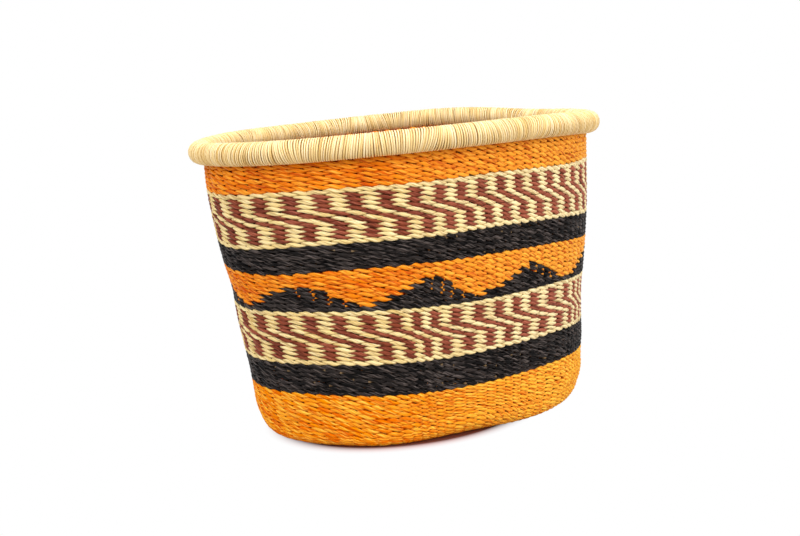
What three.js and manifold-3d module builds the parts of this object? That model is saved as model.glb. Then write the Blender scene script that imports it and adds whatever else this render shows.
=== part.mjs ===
// Bolga basket: an oval, tapered grass basket with a bound rim and no handle.
// Millimetres, Z up. The origin is at the middle of the underside, and X runs along the long side.
// Eighty stakes fan out from the start of the base, bend up at the foot and stand in the wall.
// Twined weft holds them: each row shows one strand outside the stakes and one inside.
// The rows change colour in bands, and each band has an outer and an inner layer here.

import * as THREE from "three";
import { mergeVertices } from "three/addons/utils/BufferGeometryUtils.js";
import Module from "manifold-3d";

// Heights of the colour bands of the wall, from the top down
const upperOrangeHeight = 21.6;
const upperZigzagHeight = 39.3;
const upperBlackHeight = 18.6;
const mountainHeight = 31.4;
const lowerZigzagHeight = 42.1;
const lowerBlackHeight = 24.3;
const lowerOrangeHeight = 32.4;

// The turn from the wall into the base, and the outside half length and half width of the wall
// at its top and its foot. A swell is how far the wall bulges halfway up past a straight taper.
const turnRadius = 16;
const topHalfLength = 150;
const footHalfLength = 131.3;
const lengthSwell = 1.8;
const topHalfWidth = 105;
const footHalfWidth = 83.2;
const widthSwell = 5.5;

// The wall from outside to inside
const strandThickness = 1.6;
const stakeThickness = 1.8;
const stakeWidth = 1.8;
const layerClearance = 0.6;
const bandClearance = 0.3;
const mountainRise = 14;
const mountainHem = 3.5;

// The base, and how far its weft spreads from the bound start to the turn
const baseSpread = 48;
const bunchLength = 8;
const bunchClearance = 0.6;

// The rim. Its centre line lies above the top of the wall and outside it.
const rimRise = 7.6;
const rimOverhang = 2;
const rimRadius = 7.75;
const bindingThickness = 1.2;
const coreClearance = 0.3;
const wrapRelief = 0.5;
const slitWidth = 1.2;
const rimClearance = 0.3;

// Counts
const stakeCount = 80;
const bunchCount = 8;
const mountainCount = 10;
const wrapCount = 48;
const outerSides = 48;
const innerSides = 40;
const mountainSides = 60;
const turnSteps = 3;
const wallSteps = 4;
const coreSides = 7;
const sectionSteps = 7;

const fullTurn = 2 * Math.PI;

// Heights of the edges between the bands
const footHeight = turnRadius;
const lowerBlackFoot = footHeight + lowerOrangeHeight;
const lowerZigzagFoot = lowerBlackFoot + lowerBlackHeight;
const mountainFoot = lowerZigzagFoot + lowerZigzagHeight;
const upperBlackFoot = mountainFoot + mountainHeight;
const upperZigzagFoot = upperBlackFoot + upperBlackHeight;
const upperOrangeFoot = upperZigzagFoot + upperZigzagHeight;
const topHeight = upperOrangeFoot + upperOrangeHeight;
const rimHeight = topHeight + rimRise;

// The bound start of the base
const startHalfLength = footHalfLength - turnRadius - baseSpread;
const startHalfWidth = footHalfWidth - turnRadius - baseSpread;

// Depths in the wall, measured inwards from the outside
const stakeOuterDepth = strandThickness + layerClearance;
const stakeInnerDepth = stakeOuterDepth + stakeThickness;
const innerDepth = stakeInnerDepth + layerClearance;
const wallThickness = innerDepth + strandThickness;

const wasm = await Module();
wasm.setup();

// Half the wall's length or width at a height, from that at its foot and at its top
function wallSize(height, atFoot, atTop, swell) {
  const share = (height - footHeight) / (topHeight - footHeight);
  const swellShare = 4 * share * (1 - share);
  return atFoot + (atTop - atFoot) * share + swell * swellShare;
}

// A level is one closed oval of the basket's outer face, from the base (spread), through the
// turn (bend), up the wall (height). Depth is measured inwards from the outer face.
function wallLevel(height) {
  return (angle, depth) => {
    const halfLength = wallSize(height, footHalfLength, topHalfLength, lengthSwell);
    const halfWidth = wallSize(height, footHalfWidth, topHalfWidth, widthSwell);
    return new THREE.Vector3(
      (halfLength - depth) * Math.cos(angle),
      (halfWidth - depth) * Math.sin(angle),
      height,
    );
  };
}

function turnLevel(bend) {
  return (angle, depth) => {
    const reach = (turnRadius - depth) * Math.cos(bend) - turnRadius;
    return new THREE.Vector3(
      (footHalfLength + reach) * Math.cos(angle),
      (footHalfWidth + reach) * Math.sin(angle),
      turnRadius - (turnRadius - depth) * Math.sin(bend),
    );
  };
}

function baseLevel(spread) {
  return (angle, depth) => new THREE.Vector3(
    (startHalfLength + spread) * Math.cos(angle),
    (startHalfWidth + spread) * Math.sin(angle),
    depth,
  );
}

// Levels round the turn, from the edge of the flat base up to the foot of the wall
function turnLevels(lowGap, highGap) {
  const lowBend = Math.PI / 2 - lowGap / turnRadius;
  const highBend = highGap / turnRadius;
  const stepBend = (lowBend - highBend) / turnSteps;
  return Array.from({ length: turnSteps + 1 }, (_, step) => turnLevel(lowBend - step * stepBend));
}

// A closed surface from a grid of points. Columns always close on themselves. Rows close too,
// unless the ends are capped.
function gridGeometry(rows, columns, pointAt, capped) {
  const positions = [];
  const index = [];
  for (let row = 0; row < rows; row += 1) {
    for (let column = 0; column < columns; column += 1) {
      positions.push(...pointAt(row, column).toArray());
    }
  }
  const at = (row, column) => (row % rows) * columns + (column % columns);
  const rowSteps = capped ? rows - 1 : rows;
  for (let row = 0; row < rowSteps; row += 1) {
    for (let column = 0; column < columns; column += 1) {
      index.push(at(row, column), at(row, column + 1), at(row + 1, column + 1));
      index.push(at(row, column), at(row + 1, column + 1), at(row + 1, column));
    }
  }
  if (capped) {
    for (let column = 1; column < columns - 1; column += 1) {
      index.push(at(0, 0), at(0, column + 1), at(0, column));
      index.push(at(rows - 1, 0), at(rows - 1, column), at(rows - 1, column + 1));
    }
  }
  const geometry = new THREE.BufferGeometry();
  geometry.setAttribute("position", new THREE.Float32BufferAttribute(positions, 3));
  geometry.setIndex(index);
  geometry.computeVertexNormals();
  return geometry;
}

// One layer of weft between two depths, lofted up through the given levels
function layerGeometry(levels, outerDepth, innerDepth, sides) {
  const outside = levels.map((level) => [level, outerDepth]);
  const inside = [...levels].reverse().map((level) => [level, innerDepth]);
  const section = [...outside, ...inside];
  return gridGeometry(section.length, sides, (row, column) => {
    const [level, depth] = section[row];
    return level((column / sides) * fullTurn, depth);
  }, false);
}

// A level whose height follows the mountains: straight flanks between a valley and a peak
function mountainLevel(shift) {
  return (angle, depth) => {
    const share = (angle / fullTurn) * mountainCount;
    const flank = 1 - Math.abs(2 * (share - Math.floor(share)) - 1);
    return wallLevel(mountainFoot + mountainHem + mountainRise * flank + shift)(angle, depth);
  };
}

// The height at which a piece this deep in the wall ends, just short of the underside of the rim
function underRim(depth) {
  return rimHeight - rimClearance - Math.sqrt(rimRadius ** 2 - (depth + rimOverhang) ** 2);
}

// A stake runs out from the start of the base, round the turn and up the wall
function stakeLevels() {
  const top = underRim(stakeOuterDepth);
  const stepHeight = (top - footHeight) / wallSteps;
  const heights = Array.from({ length: wallSteps }, (_, step) => footHeight + (step + 1) * stepHeight);
  return [baseLevel(bunchLength / 2), ...turnLevels(0, 0), ...heights.map(wallLevel)];
}

function stakeGeometry(angle) {
  const levels = stakeLevels();
  return gridGeometry(levels.length, 4, (row, corner) => {
    const outer = corner === 0 || corner === 3;
    const left = corner < 2;
    const point = levels[row](angle, outer ? stakeOuterDepth : stakeInnerDepth);
    const ahead = levels[row](angle + Math.PI / stakeCount, stakeOuterDepth);
    const behind = levels[row](angle - Math.PI / stakeCount, stakeOuterDepth);
    const along = ahead.sub(behind).setZ(0).setLength(stakeWidth / 2);
    return left ? point.add(along) : point.sub(along);
  }, true);
}

// The start of a bunch: a flat sector in which its stakes lie side by side
function bunchGeometry(firstAngle, lastAngle, steps) {
  const inner = baseLevel(0);
  const outer = baseLevel(bunchLength);
  return gridGeometry(steps + 1, 4, (row, corner) => {
    const level = corner < 2 ? inner : outer;
    const low = corner === 0 || corner === 3;
    const angle = firstAngle + (row / steps) * (lastAngle - firstAngle);
    return level(angle, low ? stakeOuterDepth : stakeInnerDepth);
  }, true);
}

function asSolid(geometry) {
  const bare = geometry.clone();
  bare.deleteAttribute("normal");
  const merged = mergeVertices(bare);
  return new wasm.Manifold(new wasm.Mesh({
    numProp: 3,
    vertProperties: new Float32Array(merged.attributes.position.array),
    triVerts: new Uint32Array(merged.index.array),
  }));
}

function asGeometry(solid) {
  const { vertProperties, triVerts } = solid.getMesh();
  const geometry = new THREE.BufferGeometry();
  geometry.setAttribute("position", new THREE.Float32BufferAttribute(vertProperties, 3));
  geometry.setIndex(Array.from(triVerts));
  geometry.computeVertexNormals();
  return geometry;
}

// The stakes of one bunch, joined where they leave the start of the base
function stakeBunchGeometry(bunch) {
  const perBunch = stakeCount / bunchCount;
  const stakeStep = fullTurn / stakeCount;
  const first = (bunch + 0.5) * perBunch;
  const edge = baseLevel(0);
  const spacing = edge((first - 0.5) * stakeStep, 0).distanceTo(edge((first + 0.5) * stakeStep, 0));
  const margin = 0.5 * (1 - bunchClearance / spacing);
  const firstAngle = (first - margin) * stakeStep;
  const lastAngle = (first + perBunch - 1 + margin) * stakeStep;
  let solid = asSolid(bunchGeometry(firstAngle, lastAngle, perBunch));
  for (let stake = 0; stake < perBunch; stake += 1) {
    solid = solid.add(asSolid(stakeGeometry((first + stake) * stakeStep)));
  }
  return asGeometry(solid);
}

// The oval pad at the middle of the base, where the first stakes cross and are bound
function startGeometry() {
  const geometry = new THREE.CylinderGeometry(1, 1, wallThickness, innerSides);
  geometry.rotateX(Math.PI / 2);
  geometry.scale(startHalfLength - layerClearance, startHalfWidth - layerClearance, 1);
  geometry.translate(0, 0, wallThickness / 2);
  return geometry;
}

// The rim follows the top of the wall. Its section is drawn about the rim's own centre line.
const rimHalfLength = topHalfLength + rimOverhang;
const rimHalfWidth = topHalfWidth + rimOverhang;
const flatShare = Math.cos(Math.PI / sectionSteps);
const coreRadius = (rimRadius - bindingThickness) * flatShare - coreClearance;

function rimPoint(angle, reach, rise) {
  return new THREE.Vector3(
    (rimHalfLength + reach) * Math.cos(angle),
    (rimHalfWidth + reach) * Math.sin(angle),
    rimHeight + rise,
  );
}

function coreGeometry() {
  return gridGeometry(wrapCount, coreSides, (row, column) => {
    const turn = -(column / coreSides) * fullTurn;
    return rimPoint((row / wrapCount) * fullTurn, coreRadius * Math.cos(turn), coreRadius * Math.sin(turn));
  }, false);
}

// The straw binding: a sleeve round the core in raised turns that slant along the rim.
// A slit under the rim, over the middle of the wall, is where the straw passes to and fro.
function bindingGeometry() {
  const reachToWall = -(rimOverhang + wallThickness / 2);
  const slitTurn = -Math.acos(reachToWall / rimRadius);
  const halfSlit = slitWidth / 2 / rimRadius;
  const innerRadius = rimRadius - bindingThickness;
  const slant = fullTurn / wrapCount;
  const sweep = fullTurn - 2 * halfSlit;
  const points = sectionSteps + 1;
  return gridGeometry(2 * wrapCount, 2 * points, (row, column) => {
    const outer = column < points;
    const step = outer ? column : 2 * points - 1 - column;
    const turn = slitTurn - halfSlit - (step / sectionSteps) * sweep;
    const crest = row % 2 === 0;
    const outerRadius = crest ? rimRadius : rimRadius - wrapRelief;
    const radius = outer ? outerRadius : innerRadius;
    const angle = (row / (2 * wrapCount)) * fullTurn + slant * (step / sectionSteps);
    return rimPoint(angle, radius * Math.cos(turn), radius * Math.sin(turn));
  }, false);
}

// Colours of the dyed and natural straw
const orangeStraw = { color: "#f08a18", roughness: 0.62 };
const blackStraw = { color: "#262226", roughness: 0.58 };
const creamStraw = { color: "#ead59a", roughness: 0.64 };
const naturalStraw = { color: "#dcbf86", roughness: 0.6 };
const coreStraw = { color: "#b99a62", roughness: 0.75 };

const basket = new THREE.Group();

function addPiece(name, geometry, straw) {
  const material = new THREE.MeshStandardMaterial({ ...straw, metalness: 0 });
  const mesh = new THREE.Mesh(geometry, material);
  mesh.name = name;
  basket.add(mesh);
}

const halfGap = bandClearance / 2;

// One colour band of the wall as an outer and an inner layer of weft
function addBand(name, levels, straw) {
  addPiece(`${name}_outer_weft`, layerGeometry(levels, 0, strandThickness, outerSides), straw);
  addPiece(`${name}_inner_weft`, layerGeometry(levels, innerDepth, wallThickness, innerSides), straw);
}

function straightBand(low, high) {
  return [wallLevel(low + halfGap), wallLevel(high - halfGap)];
}

// The top band ends under the rim, and its inner layer goes higher up the rim's inner side
function addTopBand() {
  const low = wallLevel(upperOrangeFoot + halfGap);
  const outerLevels = [low, wallLevel(underRim(0))];
  const innerLevels = [low, wallLevel(underRim(innerDepth))];
  const outer = layerGeometry(outerLevels, 0, strandThickness, outerSides);
  const inner = layerGeometry(innerLevels, innerDepth, wallThickness, innerSides);
  addPiece("upper_orange_outer_weft", outer, orangeStraw);
  addPiece("upper_orange_inner_weft", inner, orangeStraw);
}

function addMountainBand() {
  const low = wallLevel(mountainFoot + halfGap);
  const high = wallLevel(upperBlackFoot - halfGap);
  const line = mountainLevel(-halfGap);
  const peaks = layerGeometry([low, line], 0, strandThickness, mountainSides);
  const sky = layerGeometry([mountainLevel(halfGap), high], 0, strandThickness, mountainSides);
  const inner = layerGeometry([low, high], innerDepth, wallThickness, innerSides);
  addPiece("mountain_peaks_outer_weft", peaks, blackStraw);
  addPiece("mountain_sky_outer_weft", sky, orangeStraw);
  addPiece("mountain_inner_weft", inner, orangeStraw);
}

// The flat base on each side of the stakes, out to where the wall turns up
function addBase() {
  const levels = [baseLevel(layerClearance), baseLevel(baseSpread - halfGap)];
  addPiece("base_start", startGeometry(), naturalStraw);
  addPiece("base_under_weft", layerGeometry(levels, 0, strandThickness, outerSides), orangeStraw);
  addPiece("base_floor_weft", layerGeometry(levels, innerDepth, wallThickness, innerSides), orangeStraw);
}

addBase();
addBand("turn", turnLevels(halfGap, halfGap), orangeStraw);
addBand("lower_orange", straightBand(footHeight, lowerBlackFoot), orangeStraw);
addBand("lower_black", straightBand(lowerBlackFoot, lowerZigzagFoot), blackStraw);
addBand("lower_zigzag", straightBand(lowerZigzagFoot, mountainFoot), creamStraw);
addMountainBand();
addBand("upper_black", straightBand(upperBlackFoot, upperZigzagFoot), blackStraw);
addBand("upper_zigzag", straightBand(upperZigzagFoot, upperOrangeFoot), creamStraw);
addTopBand();
for (let bunch = 0; bunch < bunchCount; bunch += 1) {
  addPiece(`stake_bunch_${bunch + 1}`, stakeBunchGeometry(bunch), naturalStraw);
}
addPiece("rim_core", coreGeometry(), coreStraw);
addPiece("rim_binding", bindingGeometry(), naturalStraw);

export default basket;
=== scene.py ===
"""Bolga basket: an oval, tapered basket of twined grass with a straw-bound rim.

Every row of the wall is a pair of strands twisted round eighty upright stakes, so each
strand shows outside at one stake and inside at the next. The rows change colour in bands.
"""

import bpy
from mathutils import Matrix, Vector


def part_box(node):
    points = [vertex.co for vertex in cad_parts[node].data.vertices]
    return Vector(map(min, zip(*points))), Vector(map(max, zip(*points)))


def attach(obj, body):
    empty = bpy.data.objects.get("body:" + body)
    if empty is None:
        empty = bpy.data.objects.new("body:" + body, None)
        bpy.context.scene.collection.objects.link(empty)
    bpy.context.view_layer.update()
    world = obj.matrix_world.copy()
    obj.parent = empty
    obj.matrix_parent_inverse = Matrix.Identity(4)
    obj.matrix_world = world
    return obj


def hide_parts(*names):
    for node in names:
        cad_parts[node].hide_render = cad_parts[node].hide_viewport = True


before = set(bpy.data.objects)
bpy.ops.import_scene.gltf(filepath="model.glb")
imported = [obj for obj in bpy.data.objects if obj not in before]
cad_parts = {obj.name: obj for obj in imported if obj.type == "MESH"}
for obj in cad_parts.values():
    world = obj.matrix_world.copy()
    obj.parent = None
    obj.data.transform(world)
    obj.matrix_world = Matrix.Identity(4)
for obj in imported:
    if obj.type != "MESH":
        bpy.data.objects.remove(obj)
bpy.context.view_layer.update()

import math

import bmesh
import bpy
import numpy as np
from mathutils import Matrix, Vector

MM = 0.001

# Weave: stitches round the basket, the steps and sides of each strand's mesh, and the most rows
# of a band that go into one piece
STITCHES = 80
STEPS_PER_STITCH = 8
STRAND_SIDES = 8
MOST_ROWS_IN_A_PIECE = 9

# Rows of weft in each band, from the top down, and in the foot
ROWS = {
    "upper_orange": 6,
    "upper_zigzag": 12,
    "upper_black": 6,
    "mountains": 9,
    "lower_zigzag": 12,
    "lower_black": 7,
    "lower_orange": 9,
    "turn": 7,
    "base_weft": 14,
    "start_weft": 5,
}

# The weaver's hand is tighter on the right of the front, so the stakes stand closer there
NARROW_STITCH_SHARE = 0.64
NARROW_FROM = math.radians(-106)
NARROW_TO = math.radians(20)
NARROW_EASE = math.radians(34)
FIRST_STITCH_ANGLE = math.radians(-91.4)

# Hand-made shape: the oval is a little flat in front, the foot sits a little to one side, the
# rows wave, and the turn into the base is tighter in one place and softer in another
FLATNESS = -0.0294
LOPSIDEDNESS = 0.0038
FOOT_LEAN = -0.0193
ROW_WAVE = 0.3 * MM
WAVES_ROUND = 14
WAVE_SEED = 3
TIGHT_TURN_ANGLE = math.radians(-108)
SOFT_TURN_ANGLE = math.radians(-74)
TURN_CHANGE_SHARE = 0.45
TURN_CHANGE_WIDTH = math.radians(15)

# Places where the stakes lean: the stitch in the middle, the stitches to each side, the heights in
# mm between which the lean grows, and its degrees at the second height
STAKE_LEANS = [
    (2.5, 3.4, 175, 94, -4.0),
    (10, 7, 178, 200, 1.7),
    (16.5, 3.5, 125, 108, 5.0),
]

# Swells and sags of the hand-made wall: the angle in degrees and the height in mm where each
# one lies, how far it reaches in each, and how far in mm it moves the wall outwards and upwards
UNEVENNESS = [
    (-14, 170, 24, 100, 0.0, -6.0),
    (-150, 170, 24, 42, 0.0, -3.0),
    (-132, 142, 14, 14, 0.0, -2.2),
    (-128, 228, 30, 12, 0.0, -1.6),
    (-108, 188, 12, 26, 0.0, 1.0),
    (-68, 184, 14, 32, 0.0, 1.9),
    (-78, 118, 28, 16, 0.0, -1.8),
    (-88, 55, 36, 42, 0.0, -2.7),
    (25, 233, 26, 25, 0.0, -4.2),
    (65, 233, 20, 25, 0.0, 1.0),
    (120, 233, 30, 25, 0.0, -1.2),
    (-22, 204, 12, 14, 0.0, 3.0),
    (-55, 72, 25, 14, 0.0, 1.2),
    (-95, 48, 28, 12, 0.0, -1.3),
    (180, 233, 25, 20, -2.0, -1.5),
    (180, 190, 40, 38, 1.2, 0.0),
    (180, 125, 35, 16, -1.8, 0.0),
    (180, 42, 30, 14, 1.0, 0.0),
    (180, 20, 30, 16, 3.0, 0.0),
    (0, 170, 35, 45, 1.5, 0.0),
    (0, 105, 30, 14, -1.0, 0.0),
    (0, 55, 28, 20, 3.0, 0.0),
    (0, 22, 30, 18, 5.0, 0.0),
]

# A strand is wide and flat where it shows, and narrow and deep where two strands cross. Heights
# are shares of the row's height (pitch), thicknesses are shares of half the wall, and reaches are
# shares of a stitch, from the stake where the strand shows. At the crossing share it passes
# through the middle of the wall. Inside, at the next stake, it is fuller, which closes the wall.
# The float's fullness is a power. Below 1 it keeps the strand near the wall's faces for longer.
CROSSING_SHARE = 0.64
CROSSING_LIFT = 0.25
CROSSING_HALF_HEIGHT = 0.30
CROSSING_HALF_THICKNESS = 0.60
FLOAT_REACH = 0.5
FLOAT_HALF_HEIGHT = 0.55
FLOAT_HALF_THICKNESS = 0.36
FLOAT_FULLNESS = 0.85
HIDDEN_REACH = 0.85
HIDDEN_FULLNESS = 1.5

# Depths from either face of the wall, as shares of half of it, between which a strand darkens with
# painted shade, the shade that falls deep in the weave
PAINTED_SHADE_FROM = 0.38
PAINTED_SHADE_TO = 0.78

# Streaks of a strand: how far its fibres twist over a stitch, how fast the streaks change along
# it, how far they shift from stitch to stitch, and how far apart those of two strands may be
FIBRE_TWIST = 1.7
STREAK_RATE = 0.5
STREAK_SHIFT = 1.7
STREAK_SPREAD = 100

# How uneven the strands are: shares of a stitch by which groups of stitches drift and single ones
# sway, shares by which stitches are fatter and are lifted, and how far they sink into the wall.
# The row under the rim is squashed towards the outer face, to a share of the wall's thickness.
DRIFT_SHARE = 0.07
DRIFT_STITCHES = 5
SWAY_SHARE = 0.05
FATNESS_SHARE = 0.08
LIFT_SHARE = 0.05
DEEPEST_SINK = 0.22 * MM
SQUASH_UNDER_RIM = 0.5

# Stakes, and the rim with the core inside it. A tint is 0 for deep dye and 1 for pale. Painted
# shade is 0 in the open and 1 where it is darkest, and darkens the stakes inside the wall and the
# core inside the binding. The streaks say how far their pattern runs from end to end.
STAKE_BUNCHES = 8
STAKE_RADIUS = 0.9 * MM
STAKE_INTO_RIM = 2 * MM
STAKE_STEPS = 40
STAKE_SIDES = 6
STAKE_STREAKS = 3
STAKE_TINT = 0.4
STAKE_PAINTED_SHADE = 0.8

RIM_OVERHANG = 2 * MM
RIM_RADIUS = 8.5 * MM
RIM_TILT = 0.75 * MM
CORE_STEPS = 240
CORE_SIDES = 16
CORE_STREAKS = 40
CORE_TINT = 0.3
CORE_PAINTED_SHADE = 1.0

# Straw of the rim binding. Its widths and slides are shares of the room that one turn has, and
# its sinks are shares of half its thickness. Turns lean together in groups. The twist and the
# streaks are those of one turn. The tucked ends are shares of a length, and painted shade darkens
# each turn's edges, in the creases between the turns, from a share of half the width.
BINDING_THICKNESS = 1.5 * MM
BINDING_LENGTHS = 50
TURNS_PER_LENGTH = 10
TURNS_OF_OVERLAP = 0.2
TURNS_THAT_LEAN = 10
STEPS_PER_TURN = 16
STRAW_SIDES = 8
STRAW_HALF_WIDTH = 0.51
STRAW_LEAST_WIDTH = 0.88
STRAW_WIDTH_CHANGE = 0.22
STRAW_LEAST_SINK = 0.8
STRAW_SINK_CHANGE = 0.4
STRAW_SLIDE = 0.07
STRAW_TWIST = 0.6
STRAW_STREAKS = 0.9
TUCKED_SHARE = 0.03
TUCKED_NARROWING = 0.5
PAINTED_SHADE_EDGE_SHARE = 0.5
BINDING_SEED = 8

# Points in the tables of angles, and the small steps along which directions are measured
ANGLE_TABLE_POINTS = 4001
RIM_TABLE_POINTS = 2001
STAKE_ANGLE_STEP = 0.005
RIM_ANGLE_STEP = 0.001
WINDING_STEP = 0.01

# The frame's own sizes
BANDS = [
    "lower_orange", "lower_black", "lower_zigzag", "mountain_sky",
    "upper_black", "upper_zigzag", "upper_orange",
]
band_foot = {name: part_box(f"{name}_outer_weft")[0].z for name in ["mountain_peaks"] + BANDS}
band_high = {name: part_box(f"{name}_outer_weft")[1] for name in BANDS}
band_tops = np.array([band_high[name].z for name in BANDS])
half_length_fit = np.polyfit(band_tops, [band_high[name].x for name in BANDS], 2)
half_width_fit = np.polyfit(band_tops, [band_high[name].y for name in BANDS], 2)
lower_orange_top = band_high["lower_orange"].z
wall_top = band_high["upper_orange"].z
turn_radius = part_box("turn_outer_weft")[1].z
wall_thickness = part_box("base_start")[1].z
start_half_length, start_half_width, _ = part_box("base_start")[1]
rim_low, rim_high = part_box("rim_binding")
rim_height = (rim_low.z + rim_high.z) / 2
base_spread = np.polyval(half_length_fit, turn_radius) - turn_radius - start_half_length
turn_run = turn_radius * math.pi / 2


def smooth(value, low, high):
    """0 up to low, 1 from high on, and a smooth step between. low may be the larger of the two."""
    share = np.clip((value - low) / (high - low), 0, 1)
    return share * share * (3 - 2 * share)


def periodic(values, place):
    """Smooth interpolation in a table that closes on itself."""
    count = len(values)
    low = np.floor(place).astype(int)
    share = place - low
    share = share * share * (3 - 2 * share)
    return values[low % count] * (1 - share) + values[(low + 1) % count] * share


def bell(distance, width):
    """1 at no distance, and fading on both sides over this width."""
    return np.exp(-(distance / width) ** 2)


def unit(vectors):
    """Vectors of length 1 in the same directions."""
    return vectors / np.linalg.norm(vectors, axis=-1, keepdims=True)


# Shape of the basket

def stitch_angle_table():
    """Angle round the oval at each point of a fine table of stitch numbers."""
    angle = np.linspace(-math.pi, math.pi, ANGLE_TABLE_POINTS)
    narrow = smooth(angle, NARROW_FROM, NARROW_FROM + NARROW_EASE)
    narrow = narrow - smooth(angle, NARROW_TO - NARROW_EASE, NARROW_TO)
    width = 1 - (1 - NARROW_STITCH_SHARE) * narrow
    half_length = np.polyval(half_length_fit, wall_top)
    half_width = np.polyval(half_width_fit, wall_top)
    density = np.hypot(half_length * np.sin(angle), half_width * np.cos(angle)) / width
    count = np.concatenate([[0], np.cumsum((density[1:] + density[:-1]) / 2 * np.diff(angle))])
    count *= STITCHES / count[-1]
    return angle, count - np.interp(FIRST_STITCH_ANGLE, angle, count)


ANGLE_TABLE, COUNT_TABLE = stitch_angle_table()
ROW_WAVES = np.random.default_rng(WAVE_SEED).standard_normal(WAVES_ROUND)


def stitch_angle(stitch, height):
    """Angle round the oval of a stitch number, which may be a fraction, at a height."""
    turns = np.floor((stitch - COUNT_TABLE[0]) / STITCHES)
    angle = np.interp(stitch - turns * STITCHES, COUNT_TABLE, ANGLE_TABLE) + turns * 2 * math.pi
    for middle, reach, start, end, degrees in STAKE_LEANS:
        near = (stitch - middle + STITCHES / 2) % STITCHES - STITCHES / 2
        angle = angle + math.radians(degrees) * smooth(height / MM, start, end) * bell(near, reach)
    return angle


def angle_gap(angle, centre):
    """Signed distance between two angles, within half a turn."""
    return (angle - centre + math.pi) % (2 * math.pi) - math.pi


def hand_shape(half_length, half_width, angle, height):
    """A point of the oval with these half sizes, with the basket's hand-made unevenness."""
    swell = 1 + LOPSIDEDNESS * np.cos(3 * angle) + FLATNESS * np.sin(3 * angle)
    lean = FOOT_LEAN * (height - wall_top / 2)
    outwards = 0
    upwards = 0
    for place, level, angle_reach, level_reach, out, up in UNEVENNESS:
        share = bell(angle_gap(angle, math.radians(place)), math.radians(angle_reach))
        share = share * bell(height - level * MM, level_reach * MM) * smooth(height, 0, 2 * turn_radius)
        outwards = outwards + out * MM * share
        upwards = upwards + up * MM * share
    return np.stack([
        (half_length * swell + outwards) * np.cos(angle) + lean,
        (half_width * swell + outwards) * np.sin(angle),
        height + upwards,
    ], axis=-1)


def local_turn(angle):
    """Radius of the turn into the base at an angle round the oval."""
    change = bell(angle_gap(angle, SOFT_TURN_ANGLE), TURN_CHANGE_WIDTH)
    change = change - bell(angle_gap(angle, TIGHT_TURN_ANGLE), TURN_CHANGE_WIDTH)
    return turn_radius * (1 + TURN_CHANGE_SHARE * change)


def wall_point(run, angle, depth):
    """A point of the body. run is measured up the outer face from the edge of the flat base,
    and is negative in the base. depth is measured inwards from the outer face."""
    radius = local_turn(angle)
    bend = math.pi / 2 * (1 - np.clip(run / turn_run, 0, 1))
    straight = np.clip(run - turn_run, 0, None)
    low_part = np.clip(straight, None, lower_orange_top - turn_radius)
    squeeze = (lower_orange_top - radius) / (lower_orange_top - turn_radius)
    height = radius - (radius - depth) * np.sin(bend) + low_part * squeeze + (straight - low_part)
    flat = np.clip(-run, 0, None) * (base_spread + turn_radius - radius) / base_spread
    inset = radius - (radius - depth) * np.cos(bend) + flat
    measured = np.maximum(height, radius)
    half_length = np.polyval(half_length_fit, measured) - inset
    half_width = np.polyval(half_width_fit, measured) - inset
    wave = ROW_WAVE * periodic(ROW_WAVES, (angle / (2 * math.pi) + 1) * len(ROW_WAVES))
    wave = wave * smooth(run, turn_run, 3 * turn_run) * smooth(wall_top - height, 0, turn_radius)
    return hand_shape(half_length, half_width, angle, height + wave)


def run_at(height):
    """The run up the outer face at a height of the wall above the turn."""
    return height - turn_radius + turn_run


# Tubes. A template has a circle's points at a number of steps, and is laid along each strand.

def read_template(bm, steps, sides, closed):
    """Step and side of every point of a template, and the step of every face."""
    bmesh.ops.recalc_face_normals(bm, faces=bm.faces)
    mesh = bpy.data.meshes.new("template")
    bm.to_mesh(mesh)
    bm.free()
    places = np.empty(len(mesh.vertices) * 3, np.float32)
    mesh.vertices.foreach_get("co", places)
    x, y, z = places.reshape(-1, 3).T
    if closed:
        step = np.rint(np.arctan2(y, x) / (2 * math.pi) * steps).astype(int) % steps
        around = np.arctan2(z, np.hypot(x, y) - 1)
    else:
        step = np.rint(z).astype(int)
        around = np.arctan2(y, x)
    side = np.rint((around - around[0]) / (2 * math.pi) * sides).astype(int) % sides
    face_step = []
    for face in mesh.polygons:
        reached = {int(step[corner]) for corner in face.vertices}
        wraps = closed and max(reached) - min(reached) > 1
        face_step.append(max(reached) if wraps else min(reached))
    return {"mesh": mesh, "step": step, "turn": around[0] + side / sides * 2 * math.pi,
            "face_step": np.array(face_step), "steps": steps}


def ring_template(steps, sides):
    """A closed ring: a circle spun round. Its size doesn't matter, because each strand gives its
    points their places."""
    bm = bmesh.new()
    circle = bmesh.ops.create_circle(bm, segments=sides, radius=0.1)["verts"]
    bmesh.ops.rotate(bm, verts=circle, matrix=Matrix.Rotation(math.pi / 2, 3, "X"))
    bmesh.ops.translate(bm, verts=circle, vec=(1, 0, 0))
    bmesh.ops.spin(bm, geom=bm.verts[:] + bm.edges[:], axis=(0, 0, 1), cent=(0, 0, 0),
                   angle=2 * math.pi, steps=steps, use_merge=True)
    return read_template(bm, steps, sides, True)


def rod_template(steps, sides):
    """A straight rod with closed ends."""
    bm = bmesh.new()
    bmesh.ops.create_cone(bm, cap_ends=True, segments=sides, radius1=1, radius2=1, depth=steps)
    bmesh.ops.translate(bm, verts=bm.verts, vec=(0, 0, steps / 2))
    uprights = [edge for edge in bm.edges if abs(edge.verts[0].co.z - edge.verts[1].co.z) > 0.5]
    bmesh.ops.subdivide_edges(bm, edges=uprights, cuts=steps - 1, use_grid_fill=True)
    return read_template(bm, steps, sides, False)


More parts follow.
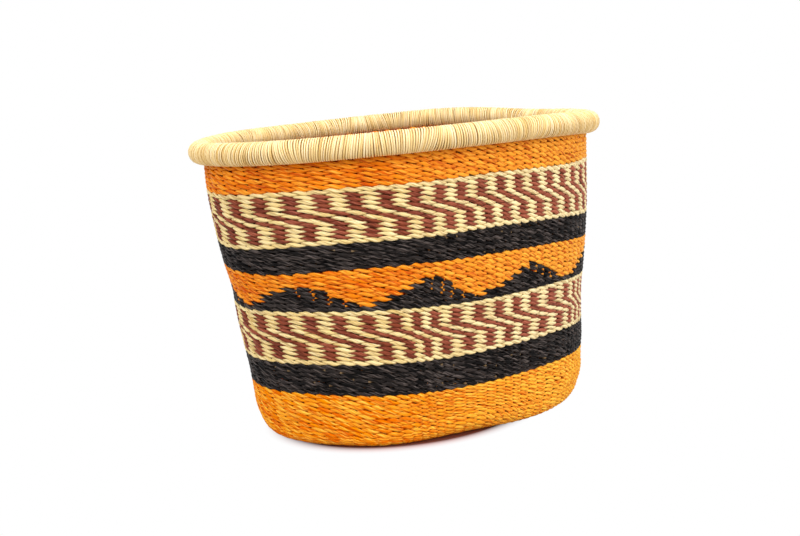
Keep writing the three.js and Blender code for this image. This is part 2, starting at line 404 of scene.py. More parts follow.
class Tubes:
    """Collects tubes and turns them into one piece."""

    def __init__(self, name, template):
        self.name = name
        self.template = template
        self.bm = bmesh.new()
        self.parts = {"co": [], "fibre": [], "tint": [], "painted_shade": [], "slot": []}

    def add(self, shape, slots=None):
        """shape(share, turn) gives places, fibre vectors, tints and painted shade of the points. slots
        has the material slot of each step."""
        template = self.template
        self.bm.from_mesh(template["mesh"])
        share = template["step"] / template["steps"]
        for key, values in zip(("co", "fibre", "tint", "painted_shade"), shape(share, template["turn"])):
            self.parts[key].append(values)
        if slots is None:
            slots = np.zeros(template["steps"] + 1, int)
        self.parts["slot"].append(slots[template["face_step"]])

    def finish(self, materials, slot, *nodes):
        """Makes the piece, with its materials, and hides the solids that it stands for."""
        mesh = bpy.data.meshes.new(self.name)
        self.bm.to_mesh(mesh)
        self.bm.free()
        whole = {key: np.concatenate(values) for key, values in self.parts.items()}
        mesh.vertices.foreach_set("co", whole["co"].astype(np.float32).ravel())
        fibre = mesh.attributes.new("fibre", "FLOAT_VECTOR", "POINT")
        fibre.data.foreach_set("vector", whole["fibre"].astype(np.float32).ravel())
        for key in ("tint", "painted_shade"):
            attribute = mesh.attributes.new(key, "FLOAT", "POINT")
            attribute.data.foreach_set("value", whole[key].astype(np.float32))
        for material in materials:
            mesh.materials.append(material)
        mesh.polygons.foreach_set("material_index", whole["slot"].astype(np.int32))
        mesh.polygons.foreach_set("use_smooth", np.ones(len(mesh.polygons), bool))
        mesh.update()
        piece = bpy.data.objects.new(self.name, mesh)
        bpy.context.scene.collection.objects.link(piece)
        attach(piece, "root")
        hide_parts(*nodes)


CROSSING_POWER = math.log(0.5) / math.log(CROSSING_SHARE)
full_row = ring_template(STITCHES * STEPS_PER_STITCH, STRAND_SIDES)
half_row = ring_template(STITCHES // 2 * STEPS_PER_STITCH, STRAND_SIDES)


# Twined rows

def twined_row(tubes, run, pitch, slot_of, seed, stitches=STITCHES, squash=1):
    """Two strands that twist round the stakes in one row. slot_of(stitch, hidden) gives the
    slot of the strand's colour round the stitch where it shows outside. squash thins the row."""
    stitch_share = STITCHES / stitches
    half_wall = wall_thickness / 2
    reach = half_wall * (1 - FLOAT_HALF_THICKNESS)
    thinning = CROSSING_HALF_THICKNESS - FLOAT_HALF_THICKNESS
    height = max(run - turn_run + turn_radius, 0)
    noise = np.random.default_rng(seed)
    drift = DRIFT_SHARE * noise.standard_normal(stitches // DRIFT_STITCHES)
    for strand in (0, 1):
        fatness = 1 + FATNESS_SHARE * noise.standard_normal(stitches)
        lift = LIFT_SHARE * pitch * noise.standard_normal(stitches)
        sway = SWAY_SHARE * noise.standard_normal(stitches)
        sunk = DEEPEST_SINK * noise.random(stitches)
        tints = noise.random(stitches)
        wander = noise.random() * STREAK_SPREAD

        def shape(share, turn):
            stitch = share * stitches
            nearest = np.rint(stitch).astype(int) % stitches
            stake = 2 * np.rint((stitch - strand) / 2).astype(int) + strand
            from_stake = stitch - stake
            away = np.abs(from_stake)
            stake = stake % stitches
            side = np.cos(math.pi * away ** CROSSING_POWER)
            shown = np.abs(side)
            rise = lift[nearest] * shown - pitch * CROSSING_LIFT * np.sin(math.pi * from_stake)
            wide = 1 - smooth(away, 0, FLOAT_REACH)
            wide = np.maximum(wide, HIDDEN_FULLNESS * smooth(away, FLOAT_REACH, HIDDEN_REACH))
            tall = pitch * (CROSSING_HALF_HEIGHT + (FLOAT_HALF_HEIGHT - CROSSING_HALF_HEIGHT) * wide)
            tall = tall * (1 + (fatness[nearest] - 1) * wide)
            deep = half_wall * (CROSSING_HALF_THICKNESS - thinning * shown)
            out = np.sign(side) * shown ** FLOAT_FULLNESS
            depth = half_wall - (reach - sunk[nearest]) * out - deep * np.cos(turn)
            moved = sway[nearest] * shown + periodic(drift, stitch / DRIFT_STITCHES)
            angle = stitch_angle((stitch + moved) * stitch_share, height)
            places = wall_point(run + rise + tall * np.sin(turn), angle, depth * squash)
            twist = turn + from_stake * FIBRE_TWIST
            along = wander + stake * STREAK_SHIFT + from_stake * STREAK_RATE
            fibres = np.stack([np.cos(twist), np.sin(twist), along], -1)
            inside = np.minimum(depth, wall_thickness - depth)
            # Painted shade: the strand darkens where it lies deep in the wall, where shade falls between
            # the stakes
            painted_shade = smooth(inside, PAINTED_SHADE_FROM * half_wall, PAINTED_SHADE_TO * half_wall)
            return places, fibres, tints[stake], painted_shade

        place = (np.arange(stitches * STEPS_PER_STITCH) + 0.5) / STEPS_PER_STITCH
        showing = 2 * np.rint((place - strand) / 2).astype(int) + strand
        hidden = np.abs(place - showing) > 0.5
        slots = [slot_of(stitch % stitches, under) for stitch, under in zip(showing, hidden)]
        tubes.add(shape, np.array(slots))


# Colours of the rows. Each function takes a row's number, counted from the top of its band, and
# gives a function for the slot of a strand's colour round one stitch.

FLECK_SHARE = 0.05
LOWER_FLECK_SEED = 10

# Rows of a zigzag band from the top down. C is all cream. A and B each have a burgundy strand,
# which shows outside at even stakes in A and at odd stakes in B.
ZIGZAG_ROWS = "CAAAABABBBBC"

# The mountains' outline: stitches, and heights in rows, of the peaks, the valleys and the bends,
# and the rows under it in which the specks lie
MOUNTAIN_LINE = [
    (-18, 6.2), (-13, 0.9), (-12, 1.8), (-11, 3.6), (-10, 5.0), (-9, 5.6), (-8, 5.6),
    (-7, 4.6), (-4, 1.0), (1.3, 6.2), (3, 4.5), (6, 0.9), (8, 2.2), (12, 6.2), (14, 3.8),
    (16.4, 0.9), (17.8, 0.9), (23.5, 6.2), (27, 1.0), (30.5, 6.2), (34, 1.0), (37.5, 6.2),
    (41, 1.0), (44.5, 6.2), (48, 1.0), (53, 6.2), (57, 1.0),
]
SPECKLED_ROWS = 2.2


def plain_row(row):
    """A row of one colour."""
    def slot_of(stitch, hidden):
        return 0
    return slot_of


def flecked_row(row):
    """A row of the first colour, where the second one peeps out between a few stitches."""
    flecks = np.random.default_rng(row).random(STITCHES) < FLECK_SHARE

    def slot_of(stitch, hidden):
        return int(hidden and flecks[stitch])
    return slot_of


def zigzag_row(row):
    """A row of a zigzag band, in cream, or in cream and burgundy."""
    kind = ZIGZAG_ROWS[row]

    def slot_of(stitch, hidden):
        return 0 if kind == "C" else int((stitch % 2 == 0) == (kind == "A"))
    return slot_of


def mountain_row(row):
    """A row of the mountain band: the first colour under the outline and the second above it.
    Where the outline falls to the right, specks of the second colour lie under it."""
    places = np.array([stitch for stitch, _ in MOUNTAIN_LINE])
    heights = np.array([rows for _, rows in MOUNTAIN_LINE])
    from_foot = ROWS["mountains"] - 1 - row

    def slot_of(stitch, hidden):
        height = np.interp(stitch, places, heights, period=STITCHES)
        falling = np.interp(stitch + 0.5, places, heights, period=STITCHES) < height
        below = height - (from_foot + 0.5)
        if below < 0:
            return 1
        return int(hidden and falling and below < SPECKLED_ROWS and from_foot > 0)
    return slot_of


def band(name, low, high, materials, slot_of_row, slot, nodes, seed, extra_rows=0):
    """Rows of weft between two heights, in one piece or in two, one above the other.
    Rows are counted from the top, and extra rows lie above them, under the rim."""
    pitch = (high - low) / ROWS[name]
    numbers = list(range(-extra_rows, ROWS[name]))
    parts = {name: numbers}
    if len(numbers) > MOST_ROWS_IN_A_PIECE:
        half = len(numbers) // 2
        parts = {f"{name}_top": numbers[:half], f"{name}_bottom": numbers[half:]}
    for part, part_rows in parts.items():
        tubes = Tubes(part, full_row)
        for row in part_rows:
            run = run_at(high - (row + 0.5) * pitch)
            squash = 1 if row >= 0 else SQUASH_UNDER_RIM
            twined_row(tubes, run, pitch, slot_of_row(row), seed + row, squash=squash)
        tubes.finish(materials, slot, *nodes)


def layers(name):
    """The two solids of a band or of the turn."""
    return [f"{name}_outer_weft", f"{name}_inner_weft"]


def wall():
    """The colour bands from the top down, each between its own foot and that of the next one up."""
    foot_of = band_foot
    mountain_nodes = ["mountain_peaks_outer_weft", "mountain_sky_outer_weft", "mountain_inner_weft"]
    band("upper_orange", foot_of["upper_orange"], wall_top, [orange], plain_row,
         "orange_straw", layers("upper_orange"), seed=100, extra_rows=1)
    band("upper_zigzag", foot_of["upper_zigzag"], foot_of["upper_orange"], [cream, burgundy], zigzag_row,
         "cream_straw", layers("upper_zigzag"), seed=200)
    band("upper_black", foot_of["upper_black"], foot_of["upper_zigzag"], [black, fleck_straw], flecked_row,
         "black_straw", layers("upper_black"), seed=300)
    band("mountains", foot_of["mountain_peaks"], foot_of["upper_black"], [black, orange], mountain_row,
         "orange_straw", mountain_nodes, seed=400)
    band("lower_zigzag", foot_of["lower_zigzag"], foot_of["mountain_peaks"], [cream, burgundy], zigzag_row,
         "cream_straw", layers("lower_zigzag"), seed=500)
    band("lower_black", foot_of["lower_black"], foot_of["lower_zigzag"], [black, fleck_straw],
         lambda row: flecked_row(LOWER_FLECK_SEED + row),
         "black_straw", layers("lower_black"), seed=600)
    band("lower_orange", turn_radius, foot_of["lower_black"], [pale_orange], plain_row,
         "orange_straw", layers("lower_orange"), seed=700)


def foot_part(name, template, stitches, top, length, material, slot, nodes, seed):
    """Plain rows of a part of the foot, from a run at its top down over a length."""
    tubes = Tubes(name, template)
    pitch = length / ROWS[name]
    for row in range(ROWS[name]):
        run = top - (row + 0.5) * pitch
        twined_row(tubes, run, pitch, plain_row(row), seed + row, stitches)
    tubes.finish([material], slot, *nodes)


def foot():
    """The turn, and then the flat base and its start, which have half as many stitches."""
    half_stitches = STITCHES // 2
    foot_part("turn", full_row, STITCHES, turn_run, turn_run,
              pale_orange, "orange_straw", layers("turn"), seed=750)
    foot_part("base_weft", half_row, half_stitches, 0, base_spread,
              pale_orange, "orange_straw", ["base_under_weft", "base_floor_weft"], seed=800)
    foot_part("start_weft", half_row, half_stitches, -base_spread, start_half_width,
              natural, "natural_straw", ["base_start"], seed=900)


def stakes():
    """Round stakes in bunches, in the middle of the wall from the start to the rim."""
    template = rod_template(STAKE_STEPS, STAKE_SIDES)
    low = -base_spread
    high = run_at(wall_top) + STAKE_INTO_RIM
    middle = wall_thickness / 2
    stakes_in_bunch = STITCHES // STAKE_BUNCHES
    for bunch in range(STAKE_BUNCHES):
        tubes = Tubes(f"stakes_{bunch + 1}", template)
        for stake in range(stakes_in_bunch):
            number = bunch * stakes_in_bunch + stake

            def shape(share, turn):
                run = low + share * (high - low)
                height = np.clip(run - turn_run + turn_radius, 0, None)
                angle = stitch_angle(np.full_like(share, number), height)
                centre = wall_point(run, angle, middle)
                across = unit(wall_point(run, angle + STAKE_ANGLE_STEP, middle) - centre)
                inward = unit(wall_point(run, angle, middle + STAKE_RADIUS) - centre)
                offset = across * np.cos(turn)[:, None] + inward * np.sin(turn)[:, None]
                fibres = np.stack([np.cos(turn), np.sin(turn), share * STAKE_STREAKS + number], -1)
                tint = np.full_like(share, STAKE_TINT)
                # Painted shade: the stakes lie inside the wall
                painted_shade = np.full_like(share, STAKE_PAINTED_SHADE)
                return centre + STAKE_RADIUS * offset, fibres, tint, painted_shade

            tubes.add(shape)
        tubes.finish([painted_shade_stake_straw], "natural_straw", f"stake_bunch_{bunch + 1}")


# Rim

def rim_centre(angle):
    """Middle of the rim at an angle round the oval."""
    half_length = np.polyval(half_length_fit, wall_top) + RIM_OVERHANG
    half_width = np.polyval(half_width_fit, wall_top) + RIM_OVERHANG
    return hand_shape(half_length, half_width, angle, rim_height - RIM_TILT * np.sin(angle))


def rim_outward(angle):
    """Level direction square to the rim, pointing out."""
    ahead = rim_centre(angle + RIM_ANGLE_STEP) - rim_centre(angle - RIM_ANGLE_STEP)
    return unit(np.stack([ahead[..., 1], -ahead[..., 0], np.zeros_like(angle)], -1))


RIM_ANGLES = np.linspace(0, 2 * math.pi, RIM_TABLE_POINTS)
RIM_STEPS = np.linalg.norm(np.diff(rim_centre(RIM_ANGLES), axis=0), axis=1)
RIM_RUNS = np.concatenate([[0], np.cumsum(RIM_STEPS)])


def rim_angle(share):
    """Angle round the rim at a share of its length."""
    whole = np.floor(share)
    return np.interp((share - whole) * RIM_RUNS[-1], RIM_RUNS, RIM_ANGLES) + whole * 2 * math.pi


def rim_binding():
    """Straw wound round the rim in close, uneven turns. Each length of straw makes ten turns,
    and its ends are tucked under its neighbours on the inner side."""
    turns = BINDING_LENGTHS * TURNS_PER_LENGTH
    pitch = RIM_RUNS[-1] / turns
    noise = np.random.default_rng(BINDING_SEED)
    slides = noise.standard_normal(turns * 2)
    lifts = noise.random(turns * 2)
    tints = noise.random(turns * 2)
    widths = STRAW_LEAST_WIDTH + STRAW_WIDTH_CHANGE * noise.random(turns)
    leans = noise.standard_normal(turns // TURNS_THAT_LEAN)
    half_thick = BINDING_THICKNESS / 2

    def centre_of(wind, tucked):
        """Centre of the straw and the direction out of the rim there, after a number of turns."""
        around = math.pi - 2 * math.pi * wind
        lean = periodic(leans, wind / TURNS_THAT_LEAN) * np.sin(around)
        share = (wind + lean + STRAW_SLIDE * periodic(slides, wind * 2)) / turns
        angle = rim_angle(share)
        sink = STRAW_LEAST_SINK + STRAW_SINK_CHANGE * periodic(lifts, wind * 2)
        radius = RIM_RADIUS - half_thick * sink - half_thick * tucked
        outward = rim_outward(angle) * np.cos(around)[..., None]
        outward[..., 2] += np.sin(around)
        return rim_centre(angle) + outward * radius[..., None], outward

    def shape_of(first_turn):
        """The shape of one length of straw."""
        def shape(share, turn):
            wind = first_turn + share * (TURNS_PER_LENGTH + TURNS_OF_OVERLAP)
            tucked = 1 - smooth(np.minimum(share, 1 - share), 0, TUCKED_SHARE)
            centre, outward = centre_of(wind, tucked)
            ahead = centre_of(wind + WINDING_STEP, tucked)[0] - centre_of(wind - WINDING_STEP, tucked)[0]
            across = np.cross(outward, unit(ahead))
            half_width = pitch * STRAW_HALF_WIDTH * periodic(widths, wind) * (1 - TUCKED_NARROWING * tucked)
            places = centre + outward * (half_thick * np.cos(turn))[:, None]
            places += across * (half_width * np.sin(turn))[:, None]
            twist = turn + wind * STRAW_TWIST
            fibres = np.stack([np.cos(twist), np.sin(twist), wind * STRAW_STREAKS], -1)
            # Painted shade on the edges of each turn, in the creases between the turns
            painted_shade = smooth(np.abs(np.sin(turn)), PAINTED_SHADE_EDGE_SHARE, 1)
            return places, fibres, periodic(tints, wind * 2), painted_shade
        return shape

    tubes = Tubes("rim_winding", rod_template(TURNS_PER_LENGTH * STEPS_PER_TURN, STRAW_SIDES))
    for length in range(BINDING_LENGTHS):
        tubes.add(shape_of(length * TURNS_PER_LENGTH))
    tubes.finish([natural], "natural_straw", "rim_binding")


def rim_core():
    """The bundle of stake ends inside the binding."""
    radius = RIM_RADIUS - BINDING_THICKNESS

    def shape(share, turn):
        angle = rim_angle(share)
        out = rim_outward(angle) * np.cos(turn)[:, None]
        out[:, 2] += np.sin(turn)
        fibres = np.stack([np.cos(turn), np.sin(turn), share * CORE_STREAKS], -1)
        tint = np.full_like(turn, CORE_TINT)
        # Painted shade: the core lies inside the binding
        painted_shade = np.full_like(turn, CORE_PAINTED_SHADE)
        return rim_centre(angle) + out * radius, fibres, tint, painted_shade

    tubes = Tubes("rim_bundle", ring_template(CORE_STEPS, CORE_SIDES))
    tubes.add(shape)
    tubes.finish([core_straw], "core_straw", "rim_core")


# Materials

def node(tree, kind, inputs=None, **settings):
    """A node with its settings, whose inputs are values or other nodes' outputs."""
    made = tree.nodes.new(kind)
    for key, value in settings.items():
        setattr(made, key, value)
    for key, value in (inputs or {}).items():
        if isinstance(value, bpy.types.NodeSocket):
            tree.links.new(value, made.inputs[key])
        else:
            made.inputs[key].default_value = value
    return made


def map_range(tree, value, low, high, to_low=0.0, to_high=1.0):
    """A value's place between two others, carried to a new range."""
    inputs = {"Value": value, "From Min": low, "From Max": high, "To Min": to_low, "To Max": to_high}
    return node(tree, "ShaderNodeMapRange", inputs).outputs[0]


def math_of(tree, operation, first, second):
    """A sum, product or the like of two values."""
    return node(tree, "ShaderNodeMath", {0: first, 1: second}, operation=operation).outputs[0]


def vector_of(tree, operation, first, second):
    """A sum or product of two vectors."""
    return node(tree, "ShaderNodeVectorMath", {0: first, 1: second}, operation=operation).outputs[0]


def noise_of(tree, place, scale, roughness):
    """Soft noise at a place."""
    inputs = {"Vector": place, "Scale": scale, "Detail": 2, "Roughness": roughness}
    return node(tree, "ShaderNodeTexNoise", inputs).outputs["Fac"]


def mix_colour(tree, share, first, second):
    """The first colour at a share of 0, and the second at 1."""
    made = node(tree, "ShaderNodeMix", data_type="RGBA")
    for key, value in (("Factor_Float", share), ("A_Color", first), ("B_Color", second)):
        socket = next(entry for entry in made.inputs if entry.identifier == key)
        tree.links.new(value, socket)
    return next(entry for entry in made.outputs if entry.identifier == "Result_Color")


STRAW_COLOURS = ("Colour", "Pale", "Deep", "Dark")
STRAW_AMOUNTS = ("Pale amount", "Deep amount", "Dark amount", "Painted shade amount", "Rightward paling amount")
RELIEF_STRENGTH = 0.8
RELIEF_DEPTH = 0.5 * MM

# How large the fine and the broad streaks are (scale and roughness of their noise), and where in
# the broad noise a painted sheen turns the strand pale, where in a stitch's tint the dye turns pale
# and deep, where in the fine noise it turns dark, and where along the basket it turns paler. The
# surface's roughness falls over the range of the fine noise.
FINE_STREAKS = (1.1, 0.6)
BROAD_STREAKS = (1.7, 0.5)
BROAD_STREAKS_SHIFT = (7.0, 3.0, 11.0)
PALE_TINTS = (0.5, 1.0)
PALE_TINT_SHARE = 0.35
PAINTED_SHEEN_STREAKS = (0.53, 0.62)
DEEP_TINTS = (0.45, 0.0)
DARK_STREAKS = (0.49, 0.37)
RIGHTWARD_PALING_PLACES = (-30 * MM, 120 * MM)
FINE_RANGE = (0.3, 0.7)
ROUGHNESS_RANGE = (0.6, 0.36)


def straw_group():
    """Colour, roughness and relief of a strand: streaks along its fibres, of which the pale ones
    are a painted sheen, a tint for each stitch, colour that is paler towards the right end of the
    basket, and painted shade on the ends where the strand dives between the stakes."""
    group = bpy.data.node_groups.new("straw_fibres", "ShaderNodeTree")
    for name in STRAW_COLOURS:
        group.interface.new_socket(name=name, in_out="INPUT", socket_type="NodeSocketColor")
    for name in STRAW_AMOUNTS:
        group.interface.new_socket(name=name, in_out="INPUT", socket_type="NodeSocketFloat")
    group.interface.new_socket(name="Colour", in_out="OUTPUT", socket_type="NodeSocketColor")
    group.interface.new_socket(name="Roughness", in_out="OUTPUT", socket_type="NodeSocketFloat")
    group.interface.new_socket(name="Height", in_out="OUTPUT", socket_type="NodeSocketFloat")
    start = group.nodes.new("NodeGroupInput").outputs
    end = group.nodes.new("NodeGroupOutput").inputs

    fibre = node(group, "ShaderNodeAttribute", attribute_name="fibre").outputs["Vector"]
    tint = node(group, "ShaderNodeAttribute", attribute_name="tint").outputs["Fac"]
    painted_shade = node(group, "ShaderNodeAttribute", attribute_name="painted_shade").outputs["Fac"]
    fine = noise_of(group, fibre, *FINE_STREAKS)
    broad = noise_of(group, vector_of(group, "ADD", fibre, BROAD_STREAKS_SHIFT), *BROAD_STREAKS)
    place = node(group, "ShaderNodeTexCoord").outputs["Object"]
    across = node(group, "ShaderNodeSeparateXYZ", {"Vector": place}).outputs["X"]

    pale_tint = map_range(group, tint, *PALE_TINTS, 0.0, PALE_TINT_SHARE)
    # Painted sheen: pale streaks along the fibres
    painted_sheen_streaks = map_range(group, broad, *PAINTED_SHEEN_STREAKS)
    pale_share = math_of(group, "ADD", pale_tint, painted_sheen_streaks)
    pale_share = math_of(group, "MINIMUM", pale_share, 1.0)
    pale_share = math_of(group, "MULTIPLY", pale_share, start["Pale amount"])
    deep_share = math_of(group, "MULTIPLY", map_range(group, tint, *DEEP_TINTS), start["Deep amount"])
    dark_share = math_of(group, "MULTIPLY", map_range(group, fine, *DARK_STREAKS), start["Dark amount"])
    # Painted shade of the strands deep in the weave
    painted_shade_share = math_of(group, "MULTIPLY", painted_shade, start["Painted shade amount"])
    # Paler towards the right end of the basket
    rightward_paling_share = math_of(group, "MULTIPLY", map_range(group, across, *RIGHTWARD_PALING_PLACES), start["Rightward paling amount"])

    colour = mix_colour(group, deep_share, start["Colour"], start["Deep"])
    colour = mix_colour(group, rightward_paling_share, colour, start["Pale"])
    colour = mix_colour(group, pale_share, colour, start["Pale"])
    colour = mix_colour(group, dark_share, colour, start["Dark"])
    colour = mix_colour(group, painted_shade_share, colour, start["Dark"])
    group.links.new(colour, end["Colour"])
    group.links.new(map_range(group, fine, *FINE_RANGE, *ROUGHNESS_RANGE), end["Roughness"])
    group.links.new(fine, end["Height"])
    return group


STRAW_GROUP = straw_group()


def straw(name, colour, pale, deep, dark, amounts, specular):
    """A grass material. amounts are the shares of pale, deep, dark, painted shade and paling towards the
    right end.
    """
    material = bpy.data.materials.new(name)
    material.use_nodes = True
    tree = material.node_tree
    principled = tree.nodes["Principled BSDF"]
    fibres = node(tree, "ShaderNodeGroup", node_tree=STRAW_GROUP)
    for key, value in zip(STRAW_COLOURS, (colour, pale, deep, dark)):
        fibres.inputs[key].default_value = (*value, 1)
    for key, value in zip(STRAW_AMOUNTS, amounts):
        fibres.inputs[key].default_value = value
    bump = {"Strength": RELIEF_STRENGTH, "Distance": RELIEF_DEPTH, "Height": fibres.outputs["Height"]}
    relief = node(tree, "ShaderNodeBump", bump)
    tree.links.new(fibres.outputs["Colour"], principled.inputs["Base Color"])
    tree.links.new(fibres.outputs["Roughness"], principled.inputs["Roughness"])
    tree.links.new(relief.outputs["Normal"], principled.inputs["Normal"])
    principled.inputs["Specular IOR Level"].default_value = specular
    return material


orange = straw(
    "orange_straw",
    colour=(0.80, 0.218, 0.002), pale=(0.98, 0.49, 0.06),
    deep=(0.65, 0.10, 0.0), dark=(0.42, 0.02, 0.0),
    amounts=(0.65, 0.8, 0.75, 1.0, 0.65), specular=0.08)
pale_orange = straw(
    "pale_orange_straw",
    colour=(0.88, 0.275, 0.0), pale=(1.0, 0.65, 0.09),
    deep=(0.79, 0.14, 0.0), dark=(0.56, 0.05, 0.0),
    amounts=(0.75, 0.8, 0.75, 1.0, 0.5), specular=0.02)
# The black straw's pale colour is a painted grey sheen
black = straw(
    "black_straw",
    colour=(0.003, 0.0018, 0.0018), pale=(0.165, 0.132, 0.122),
    deep=(0.002, 0.0014, 0.0014), dark=(0.001, 0.0007, 0.0007),
    amounts=(0.6, 0.5, 0.9, 0.9, 0.0), specular=0.09)
cream = straw(
    "cream_straw",
    colour=(0.80, 0.62, 0.27), pale=(0.92, 0.79, 0.48),
    deep=(0.66, 0.45, 0.14), dark=(0.30, 0.15, 0.03),
    amounts=(0.7, 0.6, 0.6, 0.9, 0.7), specular=0.15)
burgundy = straw(
    "burgundy_straw",
    colour=(0.21, 0.043, 0.018), pale=(0.46, 0.135, 0.08),
    deep=(0.13, 0.020, 0.011), dark=(0.04, 0.005, 0.002),
    amounts=(0.65, 0.6, 0.7, 0.9, 0.5), specular=0.12)
natural = straw(
    "natural_straw",
    colour=(0.95, 0.74, 0.37), pale=(1.0, 0.92, 0.69),
    deep=(0.79, 0.53, 0.19), dark=(0.48, 0.25, 0.035),
    amounts=(0.75, 0.75, 0.65, 1.0, 0.0), specular=0.12)
# The stakes' straw is painted dark brown, as painted shade in the gaps between the strands
painted_shade_stake_straw = straw(
    "painted_shade_stake_straw",
    colour=(0.22, 0.085, 0.022), pale=(0.32, 0.16, 0.05),
    deep=(0.15, 0.05, 0.015), dark=(0.07, 0.02, 0.006),
    amounts=(0.4, 0.5, 0.5, 0.5, 0.0), specular=0.1)
fleck_straw = straw(
    "fleck_straw",
    colour=(0.22, 0.14, 0.07), pale=(0.34, 0.25, 0.15),
    deep=(0.13, 0.07, 0.03), dark=(0.05, 0.025, 0.01),
    amounts=(0.5, 0.6, 0.6, 0.4, 0.0), specular=0.1)
core_straw = straw(
    "core_straw",
    colour=(0.50, 0.31, 0.10), pale=(0.66, 0.46, 0.20),
    deep=(0.38, 0.21, 0.06), dark=(0.24, 0.12, 0.03),
    amounts=(0.5, 0.5, 0.5, 0.4, 0.0), specular=0.1)


# Stage

# The painted shadow that the camera sees on the floor lies close to the foot, and a little to its
# left. Its half sizes are shares of the basket's at the top of the turn, and it fades between the
# inner and the outer share of them.
SHADOW_LENGTH_SHARE = 0.815
SHADOW_WIDTH_SHARE = 0.93
SHADOW_HALF_LENGTH = SHADOW_LENGTH_SHARE * float(np.polyval(half_length_fit, turn_radius))
SHADOW_HALF_WIDTH = SHADOW_WIDTH_SHARE * float(np.polyval(half_width_fit, turn_radius))
SHADOW_SHIFT = 10 * MM
SHADOW_INNER_SHARE = 0.97
SHADOW_OUTER_SHARE = 1.13
FLOOR_COLOUR = (0.88, 0.82, 0.74)
# Painted shadow colour near the foot, and the painted pink bounce light at the shadow's edge
PAINTED_SHADOW_COLOUR = (0.50, 0.23, 0.19)
PAINTED_BOUNCE_EDGE_COLOUR = (1.0, 0.28, 0.22)

FLOOR_HALF_SIZE = 8
LAMP_TARGET = (0, 0, 0.11)

# The light of the surroundings, from low down to straight above
DOME_HEIGHTS = (0.1, 0.9)
DOME_STRENGTHS = (0.3, 0.9)


def paint_of(tree, colour):
    """The same colour everywhere."""
    made = node(tree, "ShaderNodeRGB")
    made.outputs[0].default_value = (*colour, 1)
    return made.outputs[0]


def floor_material():
    """White to the camera, apart from a painted shadow close to the basket's foot: there the camera
    sees the floor in a dark painted shadow colour, with a painted pink glow of the basket's bounce
    light at its edge, under the lamps' own shadow. To the light that falls on it the floor is plain and
    pale."""
    material = bpy.data.materials.new("floor")
    material.use_nodes = True
    tree = material.node_tree
    tree.nodes.remove(tree.nodes["Principled BSDF"])
    rays = node(tree, "ShaderNodeLightPath").outputs
    place = node(tree, "ShaderNodeTexCoord").outputs["Object"]
    moved = vector_of(tree, "ADD", place, (SHADOW_SHIFT, 0, 0))
    scaled = vector_of(tree, "MULTIPLY", moved, (1 / SHADOW_HALF_LENGTH, 1 / SHADOW_HALF_WIDTH, 0))
    far = node(tree, "ShaderNodeVectorMath", {0: scaled}, operation="LENGTH").outputs["Value"]
    near = map_range(tree, far, SHADOW_OUTER_SHARE, SHADOW_INNER_SHARE)
    near = math_of(tree, "POWER", near, 2.0)
    fade = math_of(tree, "SUBTRACT", 1.0, near)
    # Painted shadow with painted pink bounce light at its edge, shown to the camera only
    painted_shadow = mix_colour(tree, near, paint_of(tree, PAINTED_BOUNCE_EDGE_COLOUR), paint_of(tree, PAINTED_SHADOW_COLOUR))
    tint = mix_colour(tree, rays["Is Camera Ray"], paint_of(tree, FLOOR_COLOUR), painted_shadow)
    paint = node(tree, "ShaderNodeBsdfDiffuse", {"Color": tint}).outputs[0]
    white = node(tree, "ShaderNodeEmission", {"Color": (1, 1, 1, 1), "Strength": 1.0}).outputs[0]
    seen = math_of(tree, "MAXIMUM", rays["Is Camera Ray"], rays["Is Glossy Ray"])
    seen = math_of(tree, "MAXIMUM", seen, rays["Is Transmission Ray"])
    whiteness = math_of(tree, "MULTIPLY", seen, fade)
    mix = node(tree, "ShaderNodeMixShader", {0: whiteness, 1: paint, 2: white}).outputs[0]
    tree.links.new(mix, tree.nodes["Material Output"].inputs["Surface"])
    return material


def white_floor():
    """The floor, and the collection that keeps the front lamps off it."""
    bm = bmesh.new()
    bmesh.ops.create_grid(bm, x_segments=1, y_segments=1, size=FLOOR_HALF_SIZE)
    mesh = bpy.data.meshes.new("floor")
    bm.to_mesh(mesh)
    bm.free()
    mesh.materials.append(floor_material())
    floor = bpy.data.objects.new("floor", mesh)
    bpy.context.scene.collection.objects.link(floor)
    unlit = bpy.data.collections.new("not_lit_by_the_front_lamps")
    unlit.objects.link(floor)
    unlit.collection_objects[0].light_linking.link_state = "EXCLUDE"
    return unlit


def surroundings():
    """White to the camera. Their light is stronger from above than from the sides."""
    world = bpy.data.worlds.new("studio")
    bpy.context.scene.world = world
    world.use_nodes = True
    tree = world.node_tree
    rays = node(tree, "ShaderNodeLightPath").outputs
    direction = node(tree, "ShaderNodeTexCoord").outputs["Generated"]
    up = node(tree, "ShaderNodeSeparateXYZ", {"Vector": direction}).outputs["Z"]
    dome = map_range(tree, up, *DOME_HEIGHTS, *DOME_STRENGTHS)
    light = math_of(tree, "MAXIMUM", dome, rays["Is Camera Ray"])
    tree.links.new(light, tree.nodes["Background"].inputs["Strength"])
    tree.nodes["Background"].inputs["Color"].default_value = (1, 1, 1, 1)


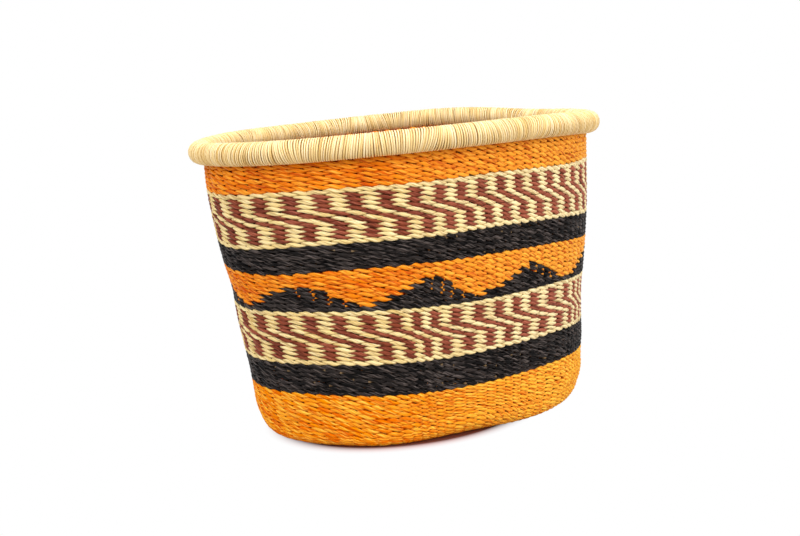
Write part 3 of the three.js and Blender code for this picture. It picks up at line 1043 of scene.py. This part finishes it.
def softbox(name, place, size, watts, unlit=None):
    """A square lamp that faces the middle of the basket."""
    data = bpy.data.lights.new(name, "AREA")
    data.shape = "SQUARE"
    data.size = size
    data.energy = watts
    lamp = bpy.data.objects.new(name, data)
    bpy.context.scene.collection.objects.link(lamp)
    lamp.light_linking.receiver_collection = unlit
    lamp.location = place
    lamp.rotation_euler = (Vector(LAMP_TARGET) - Vector(place)).to_track_quat("-Z", "Y").to_euler()


def studio():
    """Floor, white surroundings and soft lamps."""
    unlit = white_floor()
    surroundings()
    softbox("key", place=(-0.9, -1.3, 1.3), size=0.8, watts=20, unlit=unlit)
    softbox("fill", place=(1.3, -1.1, 1.0), size=0.8, watts=18, unlit=unlit)
    softbox("top", place=(0.0, -0.3, 1.9), size=0.6, watts=15)


# Camera at the photograph's viewing angle, worked out from the ovals of the rim and the bands.
# The lens and the sensor are in millimetres, as the camera takes them.

CAMERA_ELEVATION = math.radians(13.045)
CAMERA_TURN = math.radians(7.43)
CAMERA_ROLL = math.radians(4.631)
CAMERA_DISTANCE = 752.8 * MM
CAMERA_TARGET = Vector((-5.7, 0.46, 121.84)) * MM
LENS = 41.43
SENSOR_WIDTH = 36


def camera():
    """The camera, turned round the basket, looking down on it and rolled a little."""
    turn = Matrix.Rotation(-CAMERA_TURN, 3, "Z")
    forward = turn @ Vector((0, math.cos(CAMERA_ELEVATION), -math.sin(CAMERA_ELEVATION)))
    level_up = turn @ Vector((0, math.sin(CAMERA_ELEVATION), math.cos(CAMERA_ELEVATION)))
    level_right = turn @ Vector((1, 0, 0))
    up = math.cos(CAMERA_ROLL) * level_up + math.sin(CAMERA_ROLL) * level_right
    data = bpy.data.cameras.new("camera")
    data.sensor_width = SENSOR_WIDTH
    data.lens = LENS
    view = bpy.data.objects.new("camera", data)
    bpy.context.scene.collection.objects.link(view)
    view.matrix_world = Matrix((forward.cross(up), up, -forward)).transposed().to_4x4()
    view.location = CAMERA_TARGET - CAMERA_DISTANCE * forward
    bpy.context.scene.camera = view


wall()
foot()
stakes()
rim_core()
rim_binding()
studio()
camera()

bpy.context.scene.view_settings.view_transform = "Standard"
bpy.context.view_layer.update()
